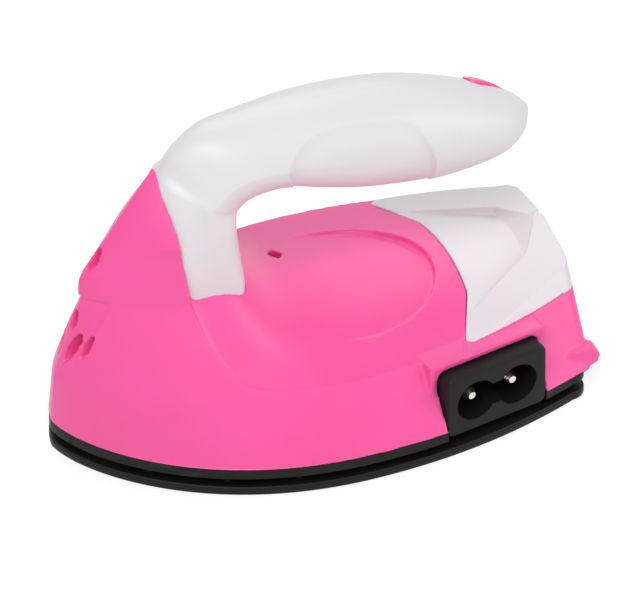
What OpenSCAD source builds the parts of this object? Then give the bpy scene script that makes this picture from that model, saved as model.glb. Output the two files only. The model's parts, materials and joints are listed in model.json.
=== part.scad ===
// Mini craft iron: nose along -X, heel along +X, mains inlet on the -Y flank, sole on z = 0.
// The origin is on the sole's face, midway along the length.

/* [Sole and skirt] */
// Length of the body from nose to heel
body_len = 95.2; // [92:0.1:98]
// Greatest width of the skirt
sole_w = 62.6; // [58:0.1:68]
// Distance from the nose to the widest place
widest_at = 52; // [46:0.5:58]
// Width of the skirt's heel edge
heel_w = 45.8; // [42:0.1:48]
// How far the body's heel overhangs the skirt's
heel_over = 1.2; // [0.8:0.1:1.3]
// Corner radius at the heel
heel_r = 3; // [1:0.1:5]
// Thickness of the soleplate
plate_t = 1.8; // [1.5:0.1:2.6]
// How far the soleplate's edge lies inside the skirt's
plate_inset = 0; // [0:0.1:0.8]
// Height of the vent slots between soleplate and skirt
slot_h = 1.9; // [1.2:0.1:2.4]
// Height of the skirt's solid band
band_h = 2.1; // [1.4:0.1:2.4]
// Width of the skirt's band, measured inwards
band_w = 5; // [4:0.1:7]
// Distance between the ribs that part the vent slots
rib_pitch = 12; // [8:0.5:16]
// Thickness of those ribs
rib_t = 1; // [0.6:0.1:2]
// Height of the lip that locates the shell
lip_h = 2.2; // [1.5:0.1:4]

/* [Shell] */
// Wall of the shell
wall = 1.8; // [1.4:0.1:2.2]
// How far the flanks lean in for each millimetre of height
flank_lean = 0.65; // [0.6:0.01:0.7]
// How far the flanks bulge out between the skirt and the mound
flank_bulge = 1.1; // [0.6:0.1:1.4]
// How far the sides lean in at the heel for each millimetre of height
heel_lean = 0.7; // [0.64:0.01:0.74]
// Height of the deck at its middle
deck_z = 21; // [19:0.1:23]
// Height of the deck's edge on the flanks
deck_edge_z = 17.7; // [16.8:0.1:18.5]
// Height of the mound that the handle's post stands on
mound_z = 32; // [30:0.1:34]
// Height of the brow above the nose vents
brow_z = 36; // [34:0.1:37]
// Height of the prow's tip
prow_z = 56.7; // [55:0.1:57.2]
// Half the width of the prow's root
prow_half_w = 10.5; // [10:0.1:11]
// How far the heel feet stand out behind the body
foot_reach = 1.5; // [1:0.1:2]
// Width of a heel foot
foot_w = 3.2; // [2.6:0.1:4]
// Height of a heel foot
foot_h = 3.6; // [3:0.1:4.4]
// Distance of a heel foot's middle from the centre line
foot_y = 21.2; // [20:0.1:21.4]
// Depth of the nose vents
vent_depth = 4; // [2:0.1:4.4]
// Depth of the dish in the deck at its rear end
dish_depth = 1.3; // [0.8:0.1:1.4]
// Length of the dish along the deck
dish_len = 38; // [30:0.5:40]
// Width of the dish across the deck
dish_w = 32; // [26:0.5:33]

/* [Rear cover] */
// Distance of the cover's front edge from the heel, on the centre line
cover_len = 18.7; // [16:0.1:20]
// Radius of the cover's front edge
cover_arc_r = 75; // [60:1:120]
// How far the cover's front corners reach forwards of that edge
cover_flare = 4.6; // [2:0.1:4.8]
// Height of the cover's lower edge
cover_z = 17.8; // [17.2:0.1:18.2]
// Height of the cover's ridge at the heel
ridge_z = 24; // [23:0.1:25]
// Thickness of the cover
cover_t = 1.7; // [1.4:0.1:2]
// Gap round the cover
cover_gap = 0.15; // [0.1:0.05:0.3]
// Half the width of the cover's sunk panel at its front
panel_front_w = 14.6; // [12:0.1:16]
// Half the width of the cover's sunk panel at its rear
panel_rear_w = 7.2; // [5:0.1:9]
// Distance of the panel's rear edge from the heel
panel_rear = 6.4; // [5.5:0.1:8]

/* [Handle] */
// Wall of the handle
handle_wall = 2; // [1.6:0.1:2.4]
// Half the width of the grip at its middle
grip_half_w = 10.3; // [9.5:0.1:11.5]
// Half the width of the post
post_half_w = 8.6; // [8:0.1:8.8]
// Length of the post along the iron
post_len = 11.6; // [10:0.1:13]
// Gap between the post and the shell
post_gap = 0.12; // [0.1:0.02:0.2]
// Height of the post's solid base
post_base_h = 6; // [5:0.1:8]
// Gap between the handle's halves at the seam
seam_gap = 0.06; // [0.02:0.02:0.1]
// Depth of the finger scallops in the grip's sides
scallop_depth = 1.3; // [0.5:0.1:1.6]
// Height of the grip's highest place
grip_top_z = 63.6; // [62.8:0.1:65]
// Height of the grip's lowest place
grip_low_z = 41.5; // [40.6:0.1:42]

/* [Button] */
// Length of the power button
button_len = 8.4; // [7:0.1:9]
// Width of the power button
button_w = 4.4; // [4:0.1:4.6]
// How far the button travels
button_travel = 0.8; // [0.5:0.1:1]
// Gap round the button
button_gap = 0.3; // [0.25:0.05:0.4]
// Thickness of the button's cap
button_t = 2.4; // [2:0.1:3]

/* [Inlet] */
// Width of the inlet's front plate
inlet_w = 21; // [20:0.1:22]
// Height of the inlet's front plate
inlet_h = 12.8; // [12:0.1:13.5]
// Radius of the plate's corners
plate_corner_r = 1.6; // [1:0.1:2]
// How far the plate stands out of its frame
inlet_proud = 3; // [2:0.1:4]
// Height of the inlet's middle above the table
inlet_z = 10; // [9.8:0.1:10.6]
// Distance of the inlet's middle from the heel
inlet_from_heel = 20.9; // [19:0.1:22]
// How far the inlet's face lies inside the skirt's widest line
inlet_in = 3.1; // [2.4:0.1:3.8]
// Angle by which the inlet turns inwards to the heel
inlet_yaw = 10; // [6:0.5:12]
// Distance between the inlet's pins
pin_pitch = 8.6; // [8:0.1:9]
// Radius of a pin
pin_r = 1.2; // [1:0.05:1.3]
// Length of a pin inside the socket
pin_len = 8.5; // [7:0.1:9]
// Radius of each lobe of the socket
socket_r = 4.1; // [3.8:0.1:4.2]
// Height of the waist between the lobes
socket_waist = 4.6; // [4.2:0.1:6]
// Depth of the socket
socket_depth = 10; // [9:0.1:11]

/* [Hidden] */
$fn = 48;

// Amount by which a cutter runs past the face it cuts
past = 1;
// Larger than the whole iron, for cutters that take away a side
far = 80;

// Heights
slot_z = plate_t + slot_h;
skirt_z = slot_z + band_h;

// Lengths
overall_len = body_len + foot_reach;
x_nose = -overall_len / 2;
x_heel = x_nose + body_len;
x_wide = x_nose + widest_at;

// Shape of the outline: fullness of the nose and of the taper to the heel
nose_power = 2.15;
nose_fullness = 1.5;
fin_power = 1.3;
fin_fullness = 1.25;
heel_power = 2.1;
front_steps = 14;
side_steps = 6;
corner_steps = 3;
least_r = 0.4;

// Profile of the nose: how far it lies behind the skirt's nose at each height
nose_foot_z = 16;
brow_h = 4.5;
nose_profile = [[skirt_z, 0], [nose_foot_z, 0.5], [brow_z - brow_h, 5.3], [brow_z, 5.4], [prow_z, 19.6]];

// Rear face of the prow: a plane that leans forwards as it rises
prow_foot_x = x_nose + 22.8;
prow_slope = 0.115;
function prow_x(z) = prow_foot_x - prow_slope * (z - mound_z);
function nose_x(z) = x_nose + lookup(z, nose_profile);

// Half the width of the prow: as wide as it is deep near its tip, and prow_half_w at its root
root_power = 6;
function prow_half(z) =
    let (d = max(least_r, prow_x(z) - nose_x(z))) d / pow(1 + pow(d / prow_half_w, root_power), 1 / root_power);

// Share of the half width at a place u from the widest one, where u = 1 is the nose
function front_share(u, p, q) = pow(max(0, 1 - pow(u, p)), 1 / q);
function rear_share(x, wide, heel) = pow((x - wide) / (heel - wide), heel_power);

// A section is [nose, widest place, half width, heel, half width at the heel, nose power, fullness]
function half_width(x, s) =
    x <= s[1]
    ? s[2] * front_share((s[1] - x) / (s[1] - s[0]), s[5], s[6])
    : s[2] - (s[2] - s[4]) * rear_share(x, s[1], s[3]);

// Half of a closed outline, from the nose along -Y to the heel
function half_outline(s, r) =
    let (corner = half_width(s[3] - r, s))
    concat(
        [for (i = [0:front_steps])
            let (x = s[1] - (s[1] - s[0]) * cos(90 * i / front_steps))
            [x, -half_width(x, s)]],
        [for (i = [1:side_steps])
            let (x = s[1] + (s[3] - r - s[1]) * i / side_steps)
            [x, -half_width(x, s)]],
        [for (i = [1:corner_steps])
            let (a = 90 * i / corner_steps)
            [s[3] - r + r * sin(a), -(corner - r + r * cos(a))]]
    );
function whole_outline(half) =
    concat(half, [for (i = [len(half) - 1:-1:1]) [half[i][0], -half[i][1]]]);
function sole_section(inset) =
    [x_nose + inset, x_wide, sole_w / 2 - inset, x_heel - heel_over - inset, heel_w / 2 - inset,
     nose_power, nose_fullness];
function sole_outline(inset) =
    whole_outline(half_outline(sole_section(inset), max(least_r, heel_r - inset)));

// The nose's own wall, thick enough above the skirt's lip to hold the vents
nose_t = 6;
nose_wall = [[skirt_z + 6, wall], [nose_foot_z + 1, nose_t]];

// Section of the shell's outer form at height z, drawn in by inset
fin_top_z = brow_z + 8;
fin_back = 1;
function fin_share(z) = min(1, max(0, (z - mound_z) / (fin_top_z - mound_z)));
function blend(a, b, t) = a + (b - a) * t;
function flank_half(z) =
    let (h = z - skirt_z) sole_w / 2 - flank_lean * h + flank_bulge * sin(180 * h / (mound_z - skirt_z));
function shell_half_w(z) = blend(flank_half(min(z, mound_z)), prow_half(z), fin_share(z));
function shell_heel_half(z) =
    max(4, min(heel_w / 2 - heel_lean * (z - skirt_z), shell_half_w(z) - 0.5));
function shell_section(z, inset) = [
    nose_x(z) + (inset > 0 ? lookup(z, nose_wall) : 0),
    blend(x_wide, prow_x(z) + fin_back, fin_share(z)),
    shell_half_w(z) - inset,
    x_heel - inset,
    shell_heel_half(z) - inset,
    blend(nose_power, fin_power, fin_share(z)),
    blend(nose_fullness, fin_fullness, fin_share(z))];
function shell_ring(z, inset) =
    [for (p = whole_outline(half_outline(shell_section(z, inset), max(least_r, heel_r - inset)))) [p[0], p[1], z]];

// Height of the deck: an edge line that rises to the prow, and a crown that rises to the handle's post
edge_drop = 5;
edge_decay = 3.2;
corner_rise = 4;
corner_decay = 0.6;
mound_reach = 15;
mound_power = 4;
mound_rise = 4;
fillet_power = 1.4;
fillet_loss = 0.4;
fillet_reach = 2.5;
function edge_z(x) =
    let (d = x - prow_foot_x)
    deck_edge_z + (mound_z - edge_drop - deck_edge_z) * exp(-d / edge_decay) + corner_rise * exp(-d / corner_decay);
function fillet(x) = fillet_power - fillet_loss * exp(-max(0, x - prow_foot_x) / fillet_reach);
function mid_z(x) =
    deck_z + (mound_z + mound_rise - deck_z) / (1 + pow(max(0, x - prow_foot_x) / mound_reach, mound_power));
function deck_half_w(x) = half_width(x, shell_section(edge_z(x), 0));
function deck_height(x, y) =
    edge_z(x) + (mid_z(x) - edge_z(x)) * pow(max(0, 1 - pow(y / deck_half_w(x), 2)), fillet(x));

// A solid through rings of points, each ring with as many points as the first
module skin(rings) {
    n = len(rings[0]);
    m = len(rings);
    points = concat([for (r = rings) each r], [mean(rings[0]), mean(rings[m - 1])]);
    polyhedron(points, concat(
        [for (k = [0:m - 2], i = [0:n - 1]) each [
            [k * n + i, (k + 1) * n + i, k * n + (i + 1) % n],
            [k * n + (i + 1) % n, (k + 1) * n + i, (k + 1) * n + (i + 1) % n]]],
        [for (i = [0:n - 1]) [m * n, i, (i + 1) % n]],
        [for (i = [0:n - 1]) [m * n + 1, (m - 1) * n + (i + 1) % n, (m - 1) * n + i]]));
}
function mean(ring) = [for (k = [0:2]) sum([for (p = ring) p[k]]) / len(ring)];
function sum(v) = v * [for (i = v) 1];

// The shell's form before the deck is cut, between two heights
shell_levels = [10, 13, nose_foot_z, 19.5, 23, 26.5, brow_z - brow_h, 34, brow_z, 39, 42, 45, 48, 51, 53, 54.5, 56];
module shell_form(low, high, inset) {
    levels = concat([low], [for (z = shell_levels) if (z > low + 0.5 && z < high - 0.5) z], [high]);
    skin([for (z = levels) shell_ring(z, inset)]);
}

// All the space above the deck and behind the prow, with its faces moved down and forwards by inset
cut_steps = [0, 0.3, 0.6, 1, 1.6, 2.4, 3.4, 4.6, 6, 7.6, 9.4, 11.4, 13.6, 16, 18.5, 21.5, 25, 29, 34, 40, 48, 58, 71.5, 76];
cut_shares = [-1.1, -1, -0.85, -0.7, -0.5, -0.25, 0, 0.25, 0.5, 0.7, 0.85, 1, 1.1];
cut_half_w = 40;
cut_top = 75;
upright_from = 24;
module deck_space(inset) {
    last = len(cut_shares) - 1;
    skin([for (step = cut_steps)
        let (x = min(prow_foot_x + step, x_heel),
             w = deck_half_w(x),
             lean = prow_slope * max(0, 1 - step / upright_from),
             low = deck_height(x, cut_shares[last] * w),
             floor_line = concat([[-cut_half_w, low]], [for (t = cut_shares) [t * w, deck_height(x, t * w)]],
                                 [[cut_half_w, low]]),
             front = prow_foot_x + step - inset)
        concat(
            [for (p = floor_line) [front - lean * (p[1] - inset - mound_z), p[0], p[1] - inset]],
            [for (i = [len(floor_line) - 1:-1:0]) [front - lean * (cut_top - mound_z), floor_line[i][0], cut_top]])]);
}

// Screws: radius of shank and head, the clearances of their holes, and the bosses they go into
screw_r = 1.25;
head_r = 2.3;
head_h = 1.6;
drive_r = 1.2;
drive_depth = 0.7;
thread_gap = 0.05;
shank_gap = 0.15;
head_gap = 0.3;
boss_r = 3;
boss_thread = 2.6;
tip_room = 0.5;
sole_screw_at = [[x_wide - 12, -21], [x_wide - 12, 21]];
shell_screw_at = [[x_heel - 9, -13], [x_heel - 9, 13]];
plate_bosses = concat(sole_screw_at, shell_screw_at);

module at_each(places, z) {
    for (p = places) translate([p[0], p[1], z]) children();
}

// Screw with its head's underside at z = 0 and its shank pointing down
module screw(length) {
    translate([0, 0, -length]) cylinder(r = screw_r, h = length);
    difference() {
        cylinder(r = head_r, h = head_h);
        translate([0, 0, head_h - drive_depth]) cylinder(r = drive_r, h = drive_depth + past, $fn = 6);
    }
}

// The inlet's own frame: x along its plate, y inwards, z up from its middle
inlet_gap = 0.15;
frame_rim = 1.6;
frame_depth = 8;
inlet_body_w = 18.4;
inlet_body_h = 10.6;
inlet_depth = 13.5;
inlet_y = sole_w / 2 - inlet_in;
function inlet_point(x, y, z) =
    [x_heel - inlet_from_heel + x * cos(inlet_yaw) - y * sin(inlet_yaw),
     -inlet_y + x * sin(inlet_yaw) + y * cos(inlet_yaw), inlet_z + z];
module inlet_frame() {
    translate(inlet_point(0, 0, 0)) rotate([0, 0, inlet_yaw]) children();
}
function plate_outline(grow) =
    let (w = inlet_w / 2 + grow - plate_corner_r, h = inlet_h / 2 + grow - plate_corner_r)
    [for (k = [0:3], i = [0:corner_steps])
        let (a = 90 * (k + i / corner_steps))
        [(k == 0 || k == 3 ? w : -w) + plate_corner_r * cos(a), (k < 2 ? h : -h) + plate_corner_r * sin(a)]];
module inlet_plate(grow, depth) {
    translate([0, inlet_proud + wall, 0]) rotate([90, 0, 0]) linear_extrude(depth) polygon(plate_outline(grow));
}
module inlet_block(grow) {
    inlet_plate(grow, 2 * inlet_proud + wall);
    translate([-inlet_body_w / 2 - grow, 0, -inlet_body_h / 2 - grow])
        cube([inlet_body_w + 2 * grow, inlet_depth + grow, inlet_body_h + 2 * grow]);
}

module soleplate() {
    color("#2b2928")
    difference() {
        union() {
            linear_extrude(plate_t) polygon(sole_outline(plate_inset));
            at_each(plate_bosses, 0) cylinder(r = boss_r, h = slot_z);
            at_each(clamp_screw_at, 0) cylinder(r = boss_r, h = slot_z);
            at_each([[fuse_x, fuse_y + clip_reach]], 0) cylinder(r = boss_r, h = slot_z);
        }
        at_each(concat(plate_bosses, clamp_screw_at), slot_z - boss_thread)
            cylinder(r = screw_r + thread_gap, h = boss_thread + past);
    }
}

// Skirt: ribs between the vent slots, a lip inside the shell, lugs for the screws and a hook at the nose
rib_inset = plate_inset + 1.6;
nose_block = 9.6;
lip_gap = 0.2;
lip_t = 1;
lip_inset = wall + lip_gap + max(flank_lean, heel_lean) * lip_h;
lug_out = 6;
hook_w = 3;
hook_h = 1.5;
hook_bite = 0.4;
hook_gap = 0.25;
hook_z = skirt_z + lip_h;
function rib_places() = [for (x = [x_nose + rib_pitch:rib_pitch:x_heel - heel_over - heel_r]) x];
module heat_skirt() {
    color("#2b2928")
    difference() {
        union() {
            translate([0, 0, slot_z]) linear_extrude(band_h) difference() {
                polygon(sole_outline(0));
                polygon(sole_outline(band_w));
            }
            translate([0, 0, skirt_z]) linear_extrude(lip_h) difference() {
                polygon(sole_outline(lip_inset));
                polygon(sole_outline(lip_inset + lip_t));
            }
            translate([0, 0, plate_t]) linear_extrude(slot_h) intersection() {
                difference() {
                    polygon(sole_outline(rib_inset));
                    polygon(sole_outline(band_w));
                }
                union() {
                    for (x = rib_places()) translate([x - rib_t / 2, -sole_w]) square([rib_t, 2 * sole_w]);
                    translate([x_nose, -sole_w]) square([nose_block, 2 * sole_w]);
                    translate([x_heel - heel_over - heel_r - past, -sole_w]) square([heel_r + 2 * past, 2 * sole_w]);
                }
            }
            translate([0, 0, slot_z]) linear_extrude(band_h) intersection() {
                polygon(sole_outline(band_w - past));
                union() {
                    for (p = plate_bosses) {
                        translate(p) circle(boss_r);
                        translate([p[0] - boss_r, p[1] > 0 ? p[1] : p[1] - 3 * lug_out]) square([2 * boss_r, 3 * lug_out]);
                    }
                }
            }
            translate([x_nose + lip_inset, -hook_w / 2, skirt_z]) cube([lip_t, hook_w, lip_h + hook_h]);
            translate([x_nose + wall - hook_bite, -hook_w / 2, hook_z])
                cube([lip_inset + lip_t - wall + hook_bite, hook_w, hook_h]);
        }
        at_each(plate_bosses, slot_z - past) cylinder(r = screw_r + shank_gap, h = band_h + 2 * past);
        inlet_frame() translate([-inlet_w / 2 - inlet_gap, -inlet_proud, plate_t - inlet_z])
            cube([inlet_w + 2 * inlet_gap, inlet_depth + inlet_proud, inlet_h]);
    }
}

// The space that the rear cover fills
cover_lead = 8;
flare_from = 11;
flare_run = 10;
module flare(gap) {
    front = x_heel - cover_len - cover_arc_r + sqrt(pow(cover_arc_r, 2) - pow(flare_from, 2)) + gap;
    reach = (far / 2 - flare_from) * cover_flare / flare_run;
    for (s = [-1, 1]) linear_extrude(far) polygon([
        [front, s * flare_from], [front - reach, s * far / 2], [x_heel, s * far / 2], [x_heel, s * flare_from]]);
}
module cover_space(gap) {
    difference() {
        translate([x_heel - cover_len - cover_lead, -far / 2, cover_z]) cube([cover_len + cover_lead + far, far, far]);
        difference() {
            translate([x_heel - cover_len - cover_arc_r + gap, 0, 0]) cylinder(r = cover_arc_r, h = far, $fn = 96);
            flare(gap);
        }
    }
}

// Post of the handle: its footprint, and the socket that it stands in
socket_floor_z = mound_z - 2.6;
post_front_x = prow_x(socket_floor_z) + post_gap;
post_mid_x = post_front_x + post_len / 2;
post_square = 0.36;
post_front_square = 0.2;
handle_sides = 32;
seat_t = 2.2;
seat_relief = 0.05;
wire_r = 2.4;
post_screw_y = 5.4;
post_screw_len = 6.5;
post_screw_at = [[post_mid_x, -post_screw_y], [post_mid_x, post_screw_y]];
function round_power(v, p) = sign(v) * pow(abs(v), p);
function post_ring(grow) =
    [for (i = [0:handle_sides - 1])
        let (a = 360 * i / handle_sides, p = cos(a) < 0 ? post_front_square : post_square)
        [post_mid_x + round_power(cos(a), p) * (post_len / 2 + grow),
         round_power(sin(a), p) * (post_half_w + grow)]];

// Heel feet, round-ended tabs at the shell's rear corners
foot_root = 3;
module heel_feet() {
    for (s = [-1, 1]) translate([0, s * foot_y, skirt_z]) {
        translate([x_heel - foot_root, -foot_w / 2, 0]) cube([foot_reach + foot_root - foot_h / 2, foot_w, foot_h]);
        translate([x_heel + foot_reach - foot_h / 2, -foot_w / 2, foot_h / 2])
            rotate([-90, 0, 0]) cylinder(r = foot_h / 2, h = foot_w);
    }
}

// Nose vents, upright ovals: distance from the centre line, height of the middle, width, length and tilt
vents = [[0, 39.5, 1.9, 4.8, 0], [0, 27.2, 1.9, 4.4, 0], [-1.9, 22.6, 1.8, 6.6, 12], [1.9, 22.6, 1.8, 6.6, -12],
         [-4.1, 23.7, 1.1, 5, 5], [4.1, 23.7, 1.1, 5, -5]];
vent_sides = 24;
module oval(w, h) {
    polygon([for (i = [0:vent_sides - 1]) let (a = 360 * i / vent_sides) [w / 2 * cos(a), h / 2 * sin(a)]]);
}
function skin_x(y, z) =
    let (s = shell_section(z, 0))
    s[1] - (s[1] - s[0]) * pow(1 - pow(abs(y) / s[2], s[6]), 1 / s[5]);
module stadium(w, h) {
    for (s = [-1, 1]) translate([0, s * (h - w) / 2]) circle(w / 2);
    square([w, h - w], center = true);
}
module nose_vents() {
    for (v = vents) translate([x_nose - past, v[0], v[1]]) rotate([90, 0, 90])
        linear_extrude(skin_x(v[0], v[1]) + vent_depth - x_nose + past) rotate(v[4]) oval(v[2], v[3]);
}

// Window over the indicator, a diamond, and the board below it
led_x = x_nose + 47.6;
led_y = 10.6;
led_size = [3, 4.2];
led_r = 1.5;
led_drop = 0.6;
led_stand = 7;
led_board_size = [10, 7, 1.2];
led_top_z = deck_height(led_x, led_y) - wall - led_drop;
led_board_z = led_top_z - led_stand;
peg_r = 1.2;
peg_x = 3.6;
module led_window() {
    translate([led_x, led_y, led_top_z - past]) linear_extrude(led_stand)
        polygon([[-led_size[0] / 2, 0], [0, -led_size[1] / 2], [led_size[0] / 2, 0], [0, led_size[1] / 2]]);
}

// Dish in the deck: within an oval, the deck's own form tilts down to the rear and runs out forwards
dish_behind = 3.5;
dish_run = 23.5;
dish_sides = 48;
dish_rear_x = x_heel - cover_len - dish_behind;
module dish_cut() {
    pivot = [dish_rear_x - dish_run, 0, deck_z];
    intersection() {
        translate([dish_rear_x, 0, deck_edge_z - wall]) linear_extrude(far)
            polygon([for (i = [0:dish_sides - 1]) let (a = 360 * i / dish_sides)
                [(cos(a) - 1) * dish_len / 2, sin(a) * dish_w / 2]]);
        translate(pivot) rotate([0, atan(dish_depth / dish_run), 0]) translate(-pivot) deck_space(0);
    }
}

// Bosses of the shell stand clear of the skirt's lip, tied to the rear wall by webs
cavity_rise = 10;
cavity_top_z = brow_z + cavity_rise;
shell_boss_h = 6;
web_t = 1.6;
web_z = skirt_z + lip_h + lip_gap;
clip_w = 6;
clip_y = 7;
clip_leg_t = 1.2;
clip_leg_h = 5;
clip_barb = 0.5;
clip_gap = 0.2;
module body_shell() {
    color("#fd5aa0")
    difference() {
        union() {
            difference() {
                shell_form(skirt_z, prow_z, 0);
                deck_space(0);
                difference() {
                    shell_form(skirt_z - past, cavity_top_z, wall);
                    deck_space(wall);
                    translate([0, 0, socket_floor_z - seat_t]) linear_extrude(far) polygon(post_ring(wall));
                }
            }
            difference() {
                inlet_frame() translate([-inlet_w / 2 - frame_rim, inlet_proud, skirt_z - inlet_z])
                    cube([inlet_w + 2 * frame_rim, frame_depth, inlet_h / 2 + frame_rim + inlet_z - skirt_z]);
                shell_form(skirt_z - past, cavity_top_z, wall);
            }
            heel_feet();
            at_each(shell_screw_at, skirt_z) cylinder(r = boss_r, h = shell_boss_h);
            for (p = shell_screw_at) translate([p[0], p[1] - web_t / 2, web_z])
                cube([x_heel - p[0] - wall / 2, web_t, skirt_z + shell_boss_h - web_z]);
            for (s = [-1, 1]) translate([led_x + s * peg_x, led_y, led_board_z + led_board_size[2]])
                cylinder(r = peg_r, h = led_stand + led_drop);
        }
        cover_space(0);
        translate([0, 0, socket_floor_z]) linear_extrude(far) polygon(post_ring(post_gap));
        translate([prow_foot_x, 0, mound_z]) rotate([0, -atan(prow_slope), 0])
            translate([-seat_relief, past - post_half_w, -past]) cube([post_len / 2, 2 * (post_half_w - past), far / 8]);
        translate([post_mid_x, 0, 0]) cylinder(r = wire_r, h = far);
        at_each(post_screw_at, socket_floor_z - seat_t - past) cylinder(r = screw_r + shank_gap, h = seat_t + 2 * past);
        at_each(shell_screw_at, skirt_z - past) cylinder(r = screw_r + shank_gap, h = shell_boss_h + 2 * past);
        inlet_frame() inlet_block(inlet_gap);
        nose_vents();
        led_window();
        dish_cut();
        translate([x_nose + wall - hook_bite - hook_gap, -hook_w / 2 - hook_gap, hook_z - hook_gap])
            cube([lip_inset, hook_w + 2 * hook_gap, hook_h + 2 * hook_gap]);
        for (s = [-1, 1]) translate([x_heel - wall - past, s * clip_y - clip_w / 2 - clip_gap, cover_z - clip_leg_h - clip_gap])
            cube([past + clip_barb + clip_gap, clip_w + 2 * clip_gap, clip_leg_t + 2 * clip_gap]);
    }
}

// Roof planes of the rear cover, on one side of the ridge, and the sunk panel with its hip
roof_fall_x = 5.3;
roof_fall_y = 10.2;
hip_angle = 35;
hip_rise = 0.4;
cover_hollow = 0.9;
notch_w = 1.3;
notch_l = 1.6;
notch_d = 1.2;
module above_roof(side) {
    translate([x_heel, 0, ridge_z]) rotate([-side * roof_fall_y, -roof_fall_x, 0])
        translate([-far, -far / 2, 0]) cube([far * 2, far, far]);
}
panel_slope = (panel_front_w - panel_rear_w) / (cover_len - panel_rear);
module panel_space() {
    front_w = panel_front_w + panel_slope * cover_lead;
    intersection() {
        translate([0, 0, cover_z]) linear_extrude(far) polygon([
            [x_heel - cover_len - cover_lead, -front_w],
            [x_heel - panel_rear, -panel_rear_w], [x_heel - notch_l, 0],
            [x_heel - panel_rear, panel_rear_w], [x_heel - cover_len - cover_lead, front_w]]);
        deck_space(0);
        translate([x_heel - panel_rear, 0, deck_z - hip_rise]) rotate([0, -hip_angle, 0])
            translate([-far, -far / 2, 0]) cube([2 * far, far, far]);
    }
}
module rear_cover() {
    color("#ebe6ec") {
        difference() {
            intersection() {
                shell_form(cover_z, ridge_z + cover_lead, 0);
                cover_space(cover_gap);
            }
            above_roof(1);
            above_roof(-1);
            panel_space();
            intersection() {
                shell_form(cover_z - past, ridge_z, wall);
                translate([x_heel - cover_len + cover_t, -far / 2, 0]) cube([far, far, cover_z + cover_hollow]);
            }
            translate([x_heel - notch_l, notch_w / 4, ridge_z - notch_d]) cube([far, notch_w, far]);
        }
        for (s = [-1, 1]) translate([x_heel - wall - clip_gap - clip_leg_t, s * clip_y - clip_w / 2, cover_z - clip_leg_h]) {
            cube([clip_leg_t, clip_w, clip_leg_h + cover_hollow]);
            cube([clip_leg_t + clip_gap + clip_barb, clip_w, clip_leg_t]);
        }
    }
}

// Handle: upper and lower outline in side view, half width, squareness and narrowing of the top at each station
function top_at(x, drop) = [x_nose + x, grip_top_z - drop];
function low_at(x, rise) = [x_nose + x, grip_low_z + rise];
function prow_at(z) = [prow_x(z) + post_gap, z];
function width_at(t) = blend(post_half_w, grip_half_w, t);
post_foot_z = socket_floor_z;
post_top_z = mound_z + 0.5;
stations = [
    [[post_front_x, post_foot_z], [post_front_x + post_len, post_foot_z], post_half_w, post_square, 0],
    [[post_front_x, post_top_z], [post_front_x + post_len, post_top_z], post_half_w, post_square, 0],
    [prow_at(40), [post_front_x + post_len - 0.9, 39.5], post_half_w, 0.4, 0],
    [prow_at(48), low_at(33.6, 2.9), post_half_w, 0.46, 0.15],
    [prow_at(54), low_at(34.5, 4.7), post_half_w, 0.72, 0.4],
    [top_at(21.4, 7), low_at(35.4, 4.6), width_at(0.1), 0.95, 0.47],
    [top_at(23.9, 3.9), low_at(37.3, 5.7), width_at(0.05), 1, 0.41],
    [top_at(29.1, 1), low_at(40.4, 6.4), width_at(0.1), 0.97, 0.27],
    [top_at(37.4, 0.2), low_at(44.3, 6.4), width_at(0.3), 0.93, 0.22],
    [top_at(46.4, 0), low_at(49.4, 4.5), width_at(0.7), 0.9, 0.1],
    [top_at(56.4, 0.8), low_at(57.9, 2), grip_half_w, 0.9, 0],
    [top_at(66.4, 2.1), low_at(67.4, 0.4), grip_half_w - 0.2, 0.92, 0],
    [top_at(76.4, 5.2), low_at(76.4, 0), grip_half_w - 1.2, 0.94, 0],
    [top_at(85.1, 9), low_at(85.1, 0.9), grip_half_w - 3.1, 0.96, 0],
    [top_at(89.7, 11.7), low_at(89.5, 3), grip_half_w - 5.8, 1, 0],
    [top_at(91.9, 13.9), low_at(91.9, 5.4), 0.9, 1, 0]];
last_station = len(stations) - 1;
hollow_from = 1.5;
function spline(a, b, c, d, t) =
    0.5 * (2 * b + (c - a) * t + (2 * a - 5 * b + 4 * c - d) * t * t + (3 * b - a - 3 * c + d) * t * t * t);
function station(f) =
    let (i = min(last_station - 1, floor(f)), t = f - i, p = stations[max(0, i - 1)], q = stations[i],
         r = stations[i + 1], s = stations[min(last_station, i + 2)])
    [for (k = [0:4]) spline(p[k], q[k], r[k], s[k], t)];

// Scallop for the fingers: how much of its depth is taken away at a station and an angle down from the top
scallop_mid = 9.9;
scallop_front = 1.75;
scallop_rear = 1.45;
scallop_top_angle = 40;
scallop_fall = 55;
front_fall_power = 2.2;
rear_fall_power = 6;
scallop_edge = 9;
function clamp01(v) = min(1, max(0, v));
function scallop_share(f, a) =
    let (behind = f > scallop_mid, d = abs(f - scallop_mid) / (behind ? scallop_rear : scallop_front),
         edge = scallop_top_angle + scallop_fall * pow(d, behind ? rear_fall_power : front_fall_power))
    d >= 1 ? 0 : clamp01((a - edge) / scallop_edge) * (1 - d * d / 2);
post_end = 2;
neck_end = 4;
function front_square(f, square) =
    post_front_square + (square - post_front_square) * max(0, min(1, (f - post_end) / (neck_end - post_end)));
function handle_ring(f, inset) =
    let (s = station(f), mid = (s[0] + s[1]) / 2, up = (s[0] - s[1]) / 2, reach = norm(up),
         tall = max(least_r, reach - inset) / reach, wide = max(least_r, s[2] - inset))
    [for (i = [0:handle_sides - 1])
        let (a = 360 * i / handle_sides, down = a > 180 ? 360 - a : a,
             p = cos(a) > 0 ? front_square(f, s[3]) : s[3], h = round_power(cos(a), p),
             w = round_power(sin(a), p) * wide * (1 - s[4] * max(0, h)),
             cut = scallop_depth * scallop_share(f, down) * sin(a))
        [mid[0] + up[0] * h * tall, cut - w, mid[1] + up[1] * h * tall]];

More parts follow.
